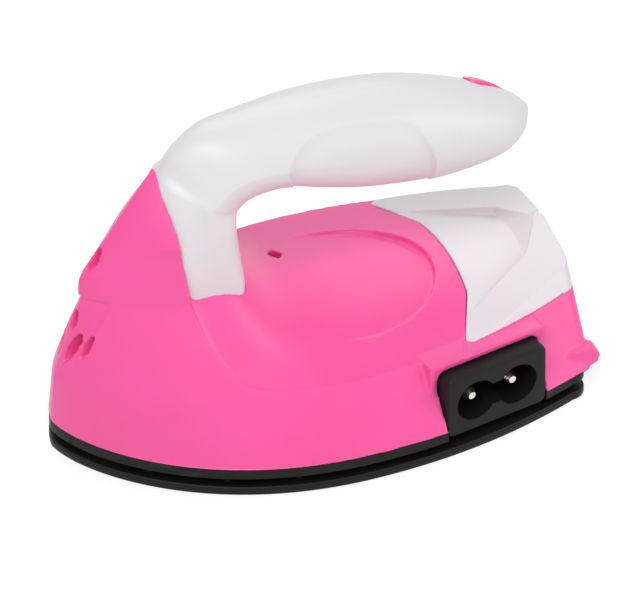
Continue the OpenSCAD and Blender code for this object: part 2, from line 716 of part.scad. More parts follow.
// The handle's form between two stations
module handle_loft(first, last, inset) {
    skin([for (f = [first:0.5:last]) handle_ring(f, inset)]);
}

// Bosses across the handle that its two screws draw together
handle_screw_at = [[x_nose + 39, 58.5], [x_nose + 62, 55.5]];
handle_screw_y = 3.4;
handle_screw_len = 8;
handle_boss_r = 4;
skin_in = 0.6;
module across(places) {
    for (p = places) translate([p[0], 0, p[1]]) rotate([-90, 0, 0]) children();
}
module handle_half(side) {
    difference() {
        union() {
            difference() {
                handle_loft(0, last_station, 0);
                handle_loft(hollow_from, last_station - 1, handle_wall);
            }
            intersection() {
                handle_loft(6, last_station - 2, skin_in);
                across(handle_screw_at) translate([0, 0, -far / 2]) cylinder(r = handle_boss_r, h = far);
            }
            if (side > 0) intersection() {
                handle_loft(11, last_station - 0.5, skin_in);
                button_frame() translate([-shelf_w / 2, -far / 2, -switch_low - shelf_t]) cube([shelf_w, far, shelf_t]);
            }
        }
        translate([-far, side > 0 ? seam_gap / 2 - far : -seam_gap / 2, 0]) cube([2 * far, far, far]);
        translate([post_mid_x, 0, 0]) cylinder(r = wire_r, h = post_top_z + post_base_h);
        at_each([post_screw_at[side > 0 ? 1 : 0]], 0)
            cylinder(r = screw_r + thread_gap, h = socket_floor_z - seat_t + post_screw_len + tip_room);
        if (side > 0) {
            across(handle_screw_at) cylinder(r = screw_r + shank_gap, h = far);
            across(handle_screw_at) translate([0, 0, handle_screw_y]) cylinder(r = head_r + head_gap, h = far);
            button_frame() button_outline(button_gap, -button_t - past, far / 8);
            button_frame() button_outline(flange_rim + button_gap, -switch_top, -button_t);
        } else {
            across(handle_screw_at) translate([0, 0, handle_screw_y - handle_screw_len - tip_room])
                cylinder(r = screw_r + thread_gap, h = far / 4);
        }
    }
}
module handle_left() {
    color("#ebe6ec") handle_half(-1);
}
module handle_right() {
    color("#ebe6ec") handle_half(1);
}

// The button's own frame: z out of the handle, x along the button's length
button_from_nose = 85.3;
button_side = 4.1;
button_drop = 10.1;
button_at = [x_nose + button_from_nose, button_side, grip_top_z - button_drop];
button_turn = [25, 34];
button_crown = 0.4;
button_dome_r = 14;
flange_rim = 0.9;
flange_t = 0.8;
flange_gap = 0.3;
flange_low = button_t + flange_gap + flange_t;
switch_size = [6, 3.6, 3];
switch_top = flange_low + button_travel + flange_gap;
switch_low = switch_top + switch_size[2];
shelf_w = 5;
shelf_t = 2;
module button_frame() {
    translate(button_at) rotate([-button_turn[0], button_turn[1], 0]) children();
}
module button_outline(grow, low, high) {
    translate([0, 0, low]) linear_extrude(high - low) rotate(90) stadium(button_w + 2 * grow, button_len + 2 * grow);
}
module power_button() {
    color("#fd5aa0")
    button_frame() {
        intersection() {
            button_outline(0, -flange_low, button_crown + past);
            translate([0, 0, button_crown - button_dome_r]) sphere(button_dome_r, $fn = 64);
        }
        button_outline(flange_rim, -flange_low, -flange_low + flange_t);
    }
}
module switch_body() {
    color("#26262a")
    button_frame() translate([-switch_size[0] / 2, -switch_size[1] / 2, -switch_low]) cube(switch_size);
}

pin_tip = 1;
module inlet_housing() {
    color("#2b2928")
    inlet_frame() difference() {
        union() {
            inlet_plate(0, inlet_proud + wall);
            translate([-inlet_body_w / 2, 0, -inlet_body_h / 2]) cube([inlet_body_w, inlet_depth, inlet_body_h]);
        }
        translate([0, socket_depth, 0]) rotate([90, 0, 0]) linear_extrude(socket_depth + past) {
            for (s = [-1, 1]) translate([s * pin_pitch / 2, 0]) circle(socket_r);
            square([pin_pitch / 2, socket_waist], center = true);
        }
        for (s = [-1, 1]) translate([s * pin_pitch / 2, inlet_depth + past, 0]) rotate([90, 0, 0])
            cylinder(r = pin_r, h = inlet_depth - socket_depth + 2 * past);
    }
}
module inlet_pins() {
    shank = inlet_depth - socket_depth + pin_len - pin_tip;
    color("#e1dacd")
    inlet_frame() for (s = [-1, 1]) translate([s * pin_pitch / 2, inlet_depth, 0]) rotate([90, 0, 0]) {
        cylinder(r = pin_r, h = shank);
        translate([0, 0, shank]) cylinder(r1 = pin_r, r2 = pin_r - pin_tip / 2, h = pin_tip);
    }
}
tab_size = [2.8, 4, 0.8];
module inlet_terminals() {
    color("#c9a24b")
    inlet_frame() for (s = [-1, 1]) translate([s * pin_pitch / 2 - tab_size[0] / 2, inlet_depth, -tab_size[2] / 2])
        cube(tab_size);
}

// Heater stack on the soleplate
heater_size = [30, 16, 4];
heater_x = x_nose + 46;
film_t = 0.3;
film_rim = 1;
clamp_t = 1;
clamp_w = 10;
clamp_gap = 0.3;
clamp_foot = 8;
heater_z = plate_t + film_t;
clamp_z = heater_z + heater_size[2] + film_t;
clamp_half = heater_size[1] / 2 + film_rim + clamp_gap;
clamp_screw_at = [[heater_x, -clamp_half - clamp_foot + boss_r], [heater_x, clamp_half + clamp_foot - boss_r]];
clamp_screw_len = 3;
pad_t = 1.2;
module ptc_heater() {
    color("#d8d4cc") translate([heater_x - heater_size[0] / 2, -heater_size[1] / 2, heater_z]) cube(heater_size);
}
module heater_film() {
    color("#c98f2f")
    translate([heater_x - heater_size[0] / 2 - film_rim, -heater_size[1] / 2 - film_rim, plate_t])
        for (z = [0, heater_size[2] + film_t]) translate([0, 0, z])
            cube([heater_size[0] + 2 * film_rim, heater_size[1] + 2 * film_rim, film_t]);
}
module heater_clamp() {
    color("#b9bcc0")
    difference() {
        translate([heater_x - clamp_w / 2, 0, 0]) union() {
            translate([0, -clamp_half - clamp_t, clamp_z]) cube([clamp_w, 2 * (clamp_half + clamp_t), clamp_t]);
            for (s = [-1, 1]) {
                translate([0, s > 0 ? clamp_half : -clamp_half - clamp_t, slot_z]) cube([clamp_w, clamp_t, clamp_z - slot_z]);
                translate([0, s > 0 ? clamp_half : -clamp_half - clamp_foot, slot_z]) cube([clamp_w, clamp_foot, clamp_t]);
            }
        }
        at_each(clamp_screw_at, slot_z - past) cylinder(r = screw_r + shank_gap, h = clamp_t + 2 * past);
    }
}
module clamp_screws() {
    color("#c8c8cc") at_each(clamp_screw_at, slot_z + clamp_t) screw(clamp_screw_len);
}
module insulation_pad() {
    color("#e8e4da")
    translate([heater_x - heater_size[0] / 2, -heater_size[1] / 2, clamp_z + clamp_t])
        cube([heater_size[0], heater_size[1], pad_t]);
}
fuse_r = 2;
fuse_len = 10;
fuse_x = heater_x + heater_size[0] / 2 + 11;
fuse_y = 2;
clip_reach = 6;
clip_t = 0.8;
fuse_clip_w = 4;
module thermal_fuse() {
    color("#b7a26a")
    translate([fuse_x - fuse_len / 2, fuse_y, plate_t + fuse_r]) rotate([0, 90, 0]) cylinder(r = fuse_r, h = fuse_len);
}
module fuse_clip() {
    color("#b9bcc0") translate([fuse_x - fuse_clip_w / 2, fuse_y, 0]) {
        translate([0, -fuse_r, plate_t + 2 * fuse_r]) cube([fuse_clip_w, fuse_r + clip_reach, clip_t]);
        translate([0, clip_reach - clip_t, slot_z]) cube([fuse_clip_w, clip_t, 2 * fuse_r + plate_t - slot_z]);
    }
}

resistor_r = 0.9;
resistor_len = 5;
module indicator_led() {
    stem = led_stand - led_board_size[2] - led_r;
    color("#f6d9d2") translate([led_x, led_y, led_board_z + led_board_size[2]]) {
        cylinder(r = led_r, h = stem);
        translate([0, 0, stem]) sphere(led_r);
    }
}
module led_board() {
    color("#3f7d4a")
    translate([led_x - led_board_size[0] / 2, led_y - led_board_size[1] / 2, led_board_z]) cube(led_board_size);
}
module led_resistor() {
    color("#c8b48a")
    translate([led_x - resistor_len / 2, led_y + resistor_r, led_board_z - resistor_r]) rotate([0, 90, 0])
        cylinder(r = resistor_r, h = resistor_len);
}

// Round leads through lists of points; each end meets its face squarely
lead_r = 0.7;
lead_sides = 8;
lead_apart = 1.1;
lead_root = 2;
function unit(v) = v / norm(v);
function lead_ring(p, d, side) =
    let (t = unit(d), u = unit(cross(t, side)), w = cross(t, u))
    [for (i = [0:lead_sides - 1]) let (a = 360 * i / lead_sides) p + lead_r * (cos(a) * u + sin(a) * w)];
module lead(route, side = [0, 1, 0]) {
    n = len(route) - 1;
    skin([for (i = [n:-1:0]) lead_ring(route[i], route[min(n, i + 1)] - route[max(0, i - 1)], side)]);
}
tab_end = inlet_depth + tab_size[1];
lead_z = clamp_z + clamp_t + pad_t + 3;
heater_end = heater_x + heater_size[0] / 2;
heater_mid_z = heater_z + heater_size[2] / 2;
fuse_z = plate_t + fuse_r;
board_end = led_x + led_board_size[0] / 2;
board_mid_z = led_board_z + led_board_size[2] / 2;
function button_point(x, y, z) =
    let (a = button_turn[0], b = button_turn[1], yy = y * cos(a) + z * sin(a), zz = -y * sin(a) + z * cos(a))
    button_at + [x * cos(b) + zz * sin(b), yy, -x * sin(b) + zz * cos(b)];
function handle_route(y) = [
    [post_mid_x, y, lead_z + 4], [post_mid_x, y, post_foot_z], [post_mid_x, y, post_top_z + post_base_h],
    [post_mid_x + 0.5, y, 46], [x_nose + 33, y, 50.5], [x_nose + 39, y, 52], [x_nose + 50, y, 50.5],
    [x_nose + 62, y, 48.5], [x_nose + 72, y, 47.5],
    button_point(-switch_size[0] / 2 - lead_root, y, switch_lead_z),
    button_point(-switch_size[0] / 2, y, switch_lead_z)];
switch_lead_z = 1.2 - switch_low;
module live_lead() {
    color("#7a4a2a") lead(concat(
        [inlet_point(-pin_pitch / 2, tab_end, 0), inlet_point(-pin_pitch / 2, tab_end + lead_root, 0),
         [x_heel - 32, -lead_apart, lead_z], [post_mid_x + 12, -lead_apart, lead_z]],
        handle_route(-lead_apart)));
}
module switch_lead() {
    fuse_end = fuse_x - fuse_len / 2;
    color("#1f1f1f") lead(concat(
        [[fuse_end, fuse_y, fuse_z], [fuse_end - lead_root, fuse_y, fuse_z], [heater_end + 2.4, 1.6, 9.6],
         [heater_end - 3, lead_apart, lead_z], [post_mid_x + 12, lead_apart, lead_z]],
        handle_route(lead_apart)));
}
module fuse_lead() {
    fuse_end = fuse_x + fuse_len / 2;
    color("#e8e8e8") lead([
        [fuse_end, fuse_y, fuse_z], [fuse_end + lead_root, fuse_y, fuse_z], [fuse_end + 3.4, 1.5, fuse_z + 2.2],
        [fuse_end + 2, 0.5, fuse_z + 4.4], [fuse_x + 3, -1.5, fuse_z + 4.4], [fuse_x - 3, -3, fuse_z + 2.5],
        [heater_end + lead_root, -4, heater_mid_z], [heater_end, -4, heater_mid_z]]);
}
module neutral_lead() {
    color("#2f5fa8") lead([
        inlet_point(pin_pitch / 2, tab_end, 0), inlet_point(pin_pitch / 2, tab_end + lead_root, 0),
        [x_heel - 24, -7, 8], [heater_end + 4, -6.4, 6],
        [heater_end + lead_root, -6.4, heater_mid_z], [heater_end, -6.4, heater_mid_z]]);
}
module led_leads() {
    color("#c8b48a") {
        lead([
            [heater_end, 6.4, heater_mid_z], [heater_end + lead_root, 6.4, heater_mid_z], [heater_end + 3.6, 8.4, 5.6],
            [heater_end + 2, 10.4, 7.5], [board_end + 4, 9.8, board_mid_z], [board_end + lead_root, 9.8, board_mid_z],
            [board_end, 9.8, board_mid_z]], [0, 0, 1]);
        lead([
            [heater_end, 3.8, heater_mid_z], [heater_end + lead_root, 3.8, heater_mid_z], [heater_end + 6, 8, 5.2],
            [heater_end + 4.5, 12.6, 7.5], [board_end + 4, 12.4, board_mid_z], [board_end + lead_root, 12.4, board_mid_z],
            [board_end, 12.4, board_mid_z]], [0, 0, 1]);
    }
}
module sole_screws() {
    color("#c8c8cc") at_each(sole_screw_at, skirt_z) screw(skirt_z - slot_z + boss_thread - tip_room);
}
module shell_screws() {
    color("#c8c8cc") at_each(shell_screw_at, skirt_z + shell_boss_h)
        screw(skirt_z + shell_boss_h - slot_z + boss_thread - tip_room);
}
module post_screws() {
    color("#c8c8cc") at_each(post_screw_at, socket_floor_z - seat_t) mirror([0, 0, 1]) screw(post_screw_len);
}
module handle_screws() {
    color("#c8c8cc") across(handle_screw_at) translate([0, 0, handle_screw_y]) screw(handle_screw_len);
}

soleplate();
heat_skirt();
body_shell();
rear_cover();
handle_left();
handle_right();
power_button();
switch_body();
inlet_housing();
inlet_pins();
inlet_terminals();
ptc_heater();
heater_film();
heater_clamp();
clamp_screws();
insulation_pad();
thermal_fuse();
fuse_clip();
indicator_led();
led_board();
led_resistor();
live_lead();
switch_lead();
fuse_lead();
neutral_lead();
led_leads();
sole_screws();
shell_screws();
post_screws();
handle_screws();
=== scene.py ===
"""Looks of the mini craft iron: shell, handle, cover, skirt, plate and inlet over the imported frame."""
import json
import math
from collections import namedtuple
import bpy
import bmesh
import numpy as np
from mathutils import Matrix, Vector


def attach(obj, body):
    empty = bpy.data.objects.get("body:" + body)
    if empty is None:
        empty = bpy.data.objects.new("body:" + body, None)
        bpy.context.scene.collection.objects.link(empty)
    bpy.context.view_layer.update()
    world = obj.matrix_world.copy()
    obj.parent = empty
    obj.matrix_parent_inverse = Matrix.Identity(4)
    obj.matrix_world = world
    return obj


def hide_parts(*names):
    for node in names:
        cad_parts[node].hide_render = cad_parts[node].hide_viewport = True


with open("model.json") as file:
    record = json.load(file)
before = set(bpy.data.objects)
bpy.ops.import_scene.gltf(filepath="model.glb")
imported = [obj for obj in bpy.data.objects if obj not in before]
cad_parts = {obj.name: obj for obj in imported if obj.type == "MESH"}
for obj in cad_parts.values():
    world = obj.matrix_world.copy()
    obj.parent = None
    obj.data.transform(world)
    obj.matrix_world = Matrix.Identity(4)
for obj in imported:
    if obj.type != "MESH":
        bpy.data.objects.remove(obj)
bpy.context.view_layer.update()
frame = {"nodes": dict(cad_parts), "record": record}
MM = 0.001
scene = bpy.context.scene

# Length of the part; all sizes are in millimetres and degrees
BODY_LEN = 95.2
FOOT_REACH = 1.5
X_NOSE = -(BODY_LEN + FOOT_REACH) / 2
X_HEEL = X_NOSE + BODY_LEN

# Outline seen from above
SOLE_W = 62.6
WIDEST_AT = 52.0
X_WIDE = X_NOSE + WIDEST_AT
NOSE_POWER = 2.15
NOSE_FULLNESS = 1.5
FIN_POWER = 1.3
FIN_FULLNESS = 1.25
HEEL_W = 45.8
HEEL_OVER = 1.2
HEEL_R = 3.0
HEEL_POWER = 2.1
LEAST_HEEL_HALF = 4
HEEL_STEP = 0.5
LEAST_R = 0.4

# Soleplate and skirt
PLATE_T = 1.8
PLATE_EDGE_R = 0.35
SLOT_Z = 3.7
SKIRT_Z = 5.8
SKIRT_EDGE_R = 0.18
BAND_W = 5.0
RIB_INSET = 1.6
RIB_PITCH = 12.0
RIB_T = 1.0
RIB_OVERLAP = 0.05
RIB_CUT_TOP = 10
NOSE_RIB_LEN = 9.6
HEEL_RIB_X = X_HEEL - HEEL_OVER - HEEL_R

# Shell: flanks, nose and prow
WALL = 1.8
FLANK_LEAN = 0.65
FLANK_BULGE = 1.1
HEEL_LEAN = 0.7
MOUND_Z = 32.0
BROW_Z = 36.0
BROW_H = 4.5
NOSE_FOOT_Z = 16.0
NOSE_BLEND = 0.9
NOSE_BLEND_STEPS = 7
PROW_Z = 56.7
PROW_HALF_W = 10.5
PROW_FOOT_X = X_NOSE + 22.8
PROW_SLOPE = 0.115
ROOT_POWER = 6
FIN_TOP_Z = BROW_Z + 8
FIN_BACK = 1
CAVITY_TOP_Z = 46.0
FOOT_MARGIN = 0.6
FOOT_LEVEL = 0.02
NOSE_PROFILE = [(SKIRT_Z, 0), (NOSE_FOOT_Z, 0.5), (BROW_Z - BROW_H, 5.3), (BROW_Z, 5.4), (PROW_Z, 19.6)]
NOSE_WALL = [(SKIRT_Z + 6, WALL), (NOSE_FOOT_Z + 1, 6)]

# Shell: facet below the brow
FACET_HALF_W = 4.7
FACET_TOP_Z = 32.8
FACET_LOW_Z = 25.0
FACET_DEPTH = 0.55
FACET_SIDE_RUN = 0.4
FACET_TOP_RUN = 0.5
FACET_REACH = 14

# Shell: deck
DECK_Z = 21.0
DECK_EDGE_Z = 17.7
EDGE_DROP = 5
EDGE_DECAY = 3.2
CORNER_RISE = 4
CORNER_DECAY = 0.6
MOUND_RISE = 4
MOUND_REACH = 15
MOUND_POWER = 4
FILLET_POWER = 1.4
FILLET_LOSS = 0.4
FILLET_REACH = 2.5

# Shell: feet, vents, window and dish
FOOT_W = 3.2
FOOT_H = 3.6
FOOT_Y = 21.2
FOOT_LIFT = 0.03
VENT_DEPTH = 4.0
Vent = namedtuple("Vent", "y z width height tilt")
VENTS = [
    Vent(0, 39.5, 1.9, 4.8, 0),
    Vent(0, 27.2, 1.9, 4.4, 0),
    Vent(-1.9, 22.6, 1.8, 6.6, 12),
    Vent(1.9, 22.6, 1.8, 6.6, -12),
    Vent(-4.1, 23.7, 1.1, 5, 5),
    Vent(4.1, 23.7, 1.1, 5, -5)]
WINDOW_AT = (X_NOSE + 47.6, 10.6, 0)
WINDOW_HALF_L = 1.5
WINDOW_HALF_W = 2.1
WINDOW_CUT = (10, 30)
DISH_DEPTH = 1.3
DISH_LEN = 38
DISH_W = 32
DISH_RUN = 23.5
DISH_BEHIND = 3.5
DISH_SIDES = 144
DISH_CUT = (10, 40)

# Rear cover
COVER_LEN = 18.7
COVER_LEAD = 8
COVER_FORM_RISE = 8
COVER_ARC_R = 75.0
COVER_FLARE = 4.6
COVER_GAP = 0.15
COVER_Z = 17.8
FLARE_FROM = 11.0
FLARE_RUN = 10.0
RIDGE_Z = 24.0
ROOF_FALL_X = 5.3
ROOF_FALL_Y = 10.2
PANEL_FRONT_W = 14.6
PANEL_REAR_W = 7.2
PANEL_REAR = 6.4
HIP_ANGLE = 35
HIP_RISE = 0.4
NOTCH_L = 1.6
NOTCH_D = 1.2
NOTCH_Y = (0.3, 1.6)

# Post and grip of the handle
POST_LEN = 11.6
POST_HALF_W = 8.6
POST_GAP = 0.12
POST_SINK = 0.45
POST_SQUARE = 0.36
POST_FRONT_SQUARE = 0.2
POST_SIDES = 96
POST_END = 2
NECK_END = 4
PROW_SINK = 0.35
SOCKET_FLOOR = MOUND_Z - 2.6
SEAT_T = 2.2
GRIP_HALF_W = 10.3
GRIP_TOP_Z = 63.6
GRIP_LOW_Z = 41.5
SEAM_HALF = 0.01
RING_STEP = 0.04
SCALLOP_DEPTH = 1.3
SCALLOP_MID = 9.9
SCALLOP_FRONT = 1.75
SCALLOP_REAR = 1.45
SCALLOP_TOP_ANGLE = 40
SCALLOP_FALL = 55
SCALLOP_EDGE = 24
FRONT_FALL_POWER = 2.2
REAR_FALL_POWER = 6
BUTTON_AT = (X_NOSE + 85.3, 4.1, GRIP_TOP_Z - 10.1)
BUTTON_TURN_X = -25
BUTTON_TURN_Y = 34
BUTTON_HOLE_W = 5.0
BUTTON_HOLE_L = 9.0
BUTTON_HOLE_CUT = (-4.2, 10)
BORE_AT = ((X_NOSE + 39, 58.5), (X_NOSE + 62, 55.5))
BORE_R = 2.6
BORE_FLOOR_Y = 3.4

# Mains inlet
INLET_W = 21.0
INLET_H = 12.8
INLET_PROUD = 3.0
INLET_CORNER_R = 1.6
INLET_EDGE_R = 0.4
INLET_GAP = 0.15
INLET_AT = (X_HEEL - 20.9, -28.2, 10.0)
INLET_YAW = 10
INLET_CUT = (-12, 3)
FRAME_RIM = 1.6
FRAME_DEPTH = 8
HOUSING_HALF_W = 9.2
HOUSING_HALF_H = 5.3
HOUSING_BACK = (1, 13.5)
SKIRT_CUT_Y = (-3, 14.5)
SKIRT_CUT_Z = (-8, 5)
PIN_PITCH = 8.6
SOCKET_R = 4.1
SOCKET_DEPTH = 10
SOCKET_WAIST = 4.6

# Reach of cutters
PAST = 1
FAR = 40
LONG = 80
CUT_TOP = 75
CUT_SHARE = 1.1
CUT_SHARES = list(np.linspace(-CUT_SHARE, CUT_SHARE, 57))
CUT_STEPS = list(np.arange(0, 3, 0.2)) + list(np.arange(3, 30, 0.6)) + list(np.arange(30, 72, 1.5)) + [76]
UPRIGHT_FROM = 24
ARC_TOP = 90

# Meshes
SMOOTH_SHARE = 0.5
BEVEL_ANGLE = 35


def new_object(name, verts, faces):
    mesh = bpy.data.meshes.new(name)
    mesh.from_pydata([tuple(c * MM for c in v) for v in verts], [], faces)
    mesh.validate()
    obj = bpy.data.objects.new(name, mesh)
    scene.collection.objects.link(obj)
    bm = bmesh.new()
    bm.from_mesh(mesh)
    bmesh.ops.recalc_face_normals(bm, faces=bm.faces)
    bm.to_mesh(mesh)
    bm.free()
    return obj


def loft(name, rings):
    n = len(rings[0])
    verts = [p for ring in rings for p in ring]
    faces = []
    for k in range(len(rings) - 1):
        for i in range(n):
            j = (i + 1) % n
            faces.append((k * n + i, k * n + j, (k + 1) * n + j, (k + 1) * n + i))
    first = len(verts)
    verts.append(tuple(np.mean(np.array(rings[0]), axis=0)))
    verts.append(tuple(np.mean(np.array(rings[-1]), axis=0)))
    last = (len(rings) - 1) * n
    for i in range(n):
        j = (i + 1) % n
        faces.append((first, j, i))
        faces.append((first + 1, last + i, last + j))
    return new_object(name, verts, faces)


def prism(name, outline, low, high):
    n = len(outline)
    verts = [(x, y, low) for x, y in outline] + [(x, y, high) for x, y in outline]
    faces = [tuple(range(n))[::-1], tuple(range(n, 2 * n))]
    for i in range(n):
        j = (i + 1) % n
        faces.append((i, j, n + j, n + i))
    return new_object(name, verts, faces)


def box(name, low, high):
    outline = [(low[0], low[1]), (high[0], low[1]), (high[0], high[1]), (low[0], high[1])]
    return prism(name, outline, low[2], high[2])


def turned(obj, matrix):
    obj.data.transform(matrix)
    return obj


def moved(x, y, z):
    return Matrix.Translation((x * MM, y * MM, z * MM))


def about(axis, degrees):
    return Matrix.Rotation(math.radians(degrees), 4, axis)


def settle(obj):
    graph = bpy.context.evaluated_depsgraph_get()
    mesh = bpy.data.meshes.new_from_object(obj.evaluated_get(graph))
    obj.modifiers.clear()
    obj.data = mesh
    return obj


def combine(obj, other, operation):
    mod = obj.modifiers.new("combine", "BOOLEAN")
    mod.operation = operation
    mod.solver = "EXACT"
    mod.object = other
    settle(obj)
    bpy.data.objects.remove(other)
    return obj


def soften(obj, voxel, rounds):
    mod = obj.modifiers.new("voxels", "REMESH")
    mod.mode = "VOXEL"
    mod.voxel_size = voxel * MM
    mod.adaptivity = 0
    settle(obj)
    mod = obj.modifiers.new("smooth", "SMOOTH")
    mod.factor = SMOOTH_SHARE
    mod.iterations = rounds
    return settle(obj)


def corners(obj):
    flat = np.empty(len(obj.data.vertices) * 3)
    obj.data.vertices.foreach_get("co", flat)
    return flat.reshape(-1, 3) / MM


def set_corners(obj, points):
    obj.data.vertices.foreach_set("co", (points * MM).ravel())
    obj.data.update()


def rounded(obj, width, segments):
    mod = obj.modifiers.new("edges", "BEVEL")
    mod.width = width * MM
    mod.segments = segments
    mod.limit_method = "ANGLE"
    mod.angle_limit = math.radians(BEVEL_ANGLE)
    mod.harden_normals = False
    return settle(obj)


def smooth_shaded(obj, angle=None):
    for face in obj.data.polygons:
        face.use_smooth = True
    if angle:
        obj.data.set_sharp_from_angle(angle=math.radians(angle))
    return obj


# Level sections of the shell and the sole
Section = namedtuple("Section", "nose wide half heel heel_half power fullness")


def lookup(z, table):
    return float(np.interp(z, [t[0] for t in table], [t[1] for t in table]))


def blend(a, b, t):
    return a + (b - a) * t


def power(v, p):
    return math.copysign(abs(v) ** p, v)


def nose_back(z):
    offsets = np.linspace(-NOSE_BLEND, NOSE_BLEND, NOSE_BLEND_STEPS)
    return float(np.mean([lookup(z + d, NOSE_PROFILE) for d in offsets]))


def prow_x(z):
    return PROW_FOOT_X - PROW_SLOPE * (z - MOUND_Z)


def prow_half(z):
    d = max(LEAST_R, prow_x(z) - X_NOSE - nose_back(z))
    return d / (1 + (d / PROW_HALF_W) ** ROOT_POWER) ** (1 / ROOT_POWER)


def fin_share(z):
    return min(1, max(0, (z - MOUND_Z) / (FIN_TOP_Z - MOUND_Z)))


def shell_half_w(z):
    h = min(z, MOUND_Z) - SKIRT_Z
    low = SOLE_W / 2 - FLANK_LEAN * h + FLANK_BULGE * math.sin(math.pi * h / (MOUND_Z - SKIRT_Z))
    return blend(low, prow_half(z), fin_share(z))


def shell_section(z, inset):
    half = shell_half_w(z)
    heel_half = max(LEAST_HEEL_HALF, min(HEEL_W / 2 - HEEL_LEAN * (z - SKIRT_Z), half - HEEL_STEP))
    share = fin_share(z)
    return Section(
        nose=X_NOSE + nose_back(z) + (lookup(z, NOSE_WALL) if inset else 0),
        wide=blend(X_WIDE, prow_x(z) + FIN_BACK, share),
        half=half - inset,
        heel=X_HEEL - inset,
        heel_half=heel_half - inset,
        power=blend(NOSE_POWER, FIN_POWER, share),
        fullness=blend(NOSE_FULLNESS, FIN_FULLNESS, share))


def sole_section(inset):
    return Section(
        nose=X_NOSE + inset,
        wide=X_WIDE,
        half=SOLE_W / 2 - inset,
        heel=X_HEEL - HEEL_OVER - inset,
        heel_half=HEEL_W / 2 - inset,
        power=NOSE_POWER,
        fullness=NOSE_FULLNESS)


def half_width(x, s):
    if x <= s.wide:
        u = (s.wide - x) / (s.wide - s.nose)
        return s.half * max(0, 1 - u ** s.power) ** (1 / s.fullness)
    return s.half - (s.half - s.heel_half) * ((x - s.wide) / (s.heel - s.wide)) ** HEEL_POWER


def whole_outline(s, inset, front=44, side=22, corner=8):
    r = max(LEAST_R, HEEL_R - inset)
    half = []
    for i in range(front + 1):
        x = s.wide - (s.wide - s.nose) * math.cos(math.pi / 2 * i / front)
        half.append((x, -half_width(x, s)))
    for i in range(1, side + 1):
        x = s.wide + (s.heel - r - s.wide) * i / side
        half.append((x, -half_width(x, s)))
    edge = half_width(s.heel - r, s)
    for i in range(1, corner + 1):
        a = math.pi / 2 * i / corner
        half.append((s.heel - r + r * math.sin(a), -(edge - r + r * math.cos(a))))
    return half + [(x, -y) for x, y in half[:0:-1]]


def sole_outline(inset):
    return whole_outline(sole_section(inset), inset)


def skin_x(y, z):
    s = shell_section(z, 0)
    return s.wide - (s.wide - s.nose) * (1 - (abs(y) / s.half) ** s.fullness) ** (1 / s.power)


def shell_form(name, low, high, inset, step):
    levels = np.linspace(low, high, int((high - low) / step) + 2)
    rings = []
    for z in levels:
        outline = whole_outline(shell_section(float(z), inset), inset)
        rings.append([(x, y, float(z)) for x, y in outline])
    return loft(name, rings)


# Height of the deck, and the space above it
def edge_z(x):
    d = x - PROW_FOOT_X
    fall = (MOUND_Z - EDGE_DROP - DECK_EDGE_Z) * math.exp(-d / EDGE_DECAY)
    return DECK_EDGE_Z + fall + CORNER_RISE * math.exp(-d / CORNER_DECAY)


def mid_z(x):
    away = max(0, x - PROW_FOOT_X) / MOUND_REACH
    return DECK_Z + (MOUND_Z + MOUND_RISE - DECK_Z) / (1 + away ** MOUND_POWER)


def deck_half_w(x):
    return half_width(x, shell_section(edge_z(x), 0))


def deck_height(x, y):
    fillet = FILLET_POWER - FILLET_LOSS * math.exp(-max(0, x - PROW_FOOT_X) / FILLET_REACH)
    return edge_z(x) + (mid_z(x) - edge_z(x)) * max(0, 1 - (y / deck_half_w(x)) ** 2) ** fillet


def deck_space(inset):
    rings = []
    for step in CUT_STEPS:
        x = min(PROW_FOOT_X + step, X_HEEL)
        w = deck_half_w(x)
        lean = PROW_SLOPE * max(0, 1 - step / UPRIGHT_FROM)
        low = deck_height(x, CUT_SHARE * w)
        line = [(-FAR, low)] + [(t * w, deck_height(x, t * w)) for t in CUT_SHARES] + [(FAR, low)]
        front = PROW_FOOT_X + step - inset
        ring = [(front - lean * (z - inset - MOUND_Z), y, z - inset) for y, z in line]
        ring += [(front - lean * (CUT_TOP - MOUND_Z), y, CUT_TOP) for y, z in line[::-1]]
        rings.append(ring)
    return loft("deck", rings)


# Outlines of the smaller forms
def stadium(w, h, n=16):
    points = []
    for i in range(n + 1):
        a = math.pi * i / n
        points.append((w / 2 * math.cos(a), (h - w) / 2 + w / 2 * math.sin(a)))
    for i in range(n + 1):
        a = math.pi + math.pi * i / n
        points.append((w / 2 * math.cos(a), -(h - w) / 2 + w / 2 * math.sin(a)))
    return points


def circle(r, n=48):
    return [(r * math.cos(2 * math.pi * i / n), r * math.sin(2 * math.pi * i / n)) for i in range(n)]


def plate_outline(grow, steps=8):
    points = []
    for k, (sx, sy) in enumerate(((1, 1), (-1, 1), (-1, -1), (1, -1))):
        for i in range(steps + 1):
            a = math.pi / 2 * (k + i / steps)
            x = sx * (INLET_W / 2 + grow - INLET_CORNER_R) + INLET_CORNER_R * math.cos(a)
            y = sy * (INLET_H / 2 + grow - INLET_CORNER_R) + INLET_CORNER_R * math.sin(a)
            points.append((x, y))
    return points


def inlet_place():
    return moved(*INLET_AT) @ about("Z", INLET_YAW)


POST_FRONT = prow_x(SOCKET_FLOOR) + POST_GAP
POST_REAR = POST_FRONT + POST_LEN
POST_MID = POST_FRONT + POST_LEN / 2


def post_ring(grow):
    ring = []
    for i in range(POST_SIDES):
        a = 2 * math.pi * i / POST_SIDES
        p = POST_FRONT_SQUARE if math.cos(a) < 0 else POST_SQUARE
        x = POST_MID + power(math.cos(a), p) * (POST_LEN / 2 + grow)
        ring.append((x, power(math.sin(a), p) * (POST_HALF_W + grow)))
    return ring


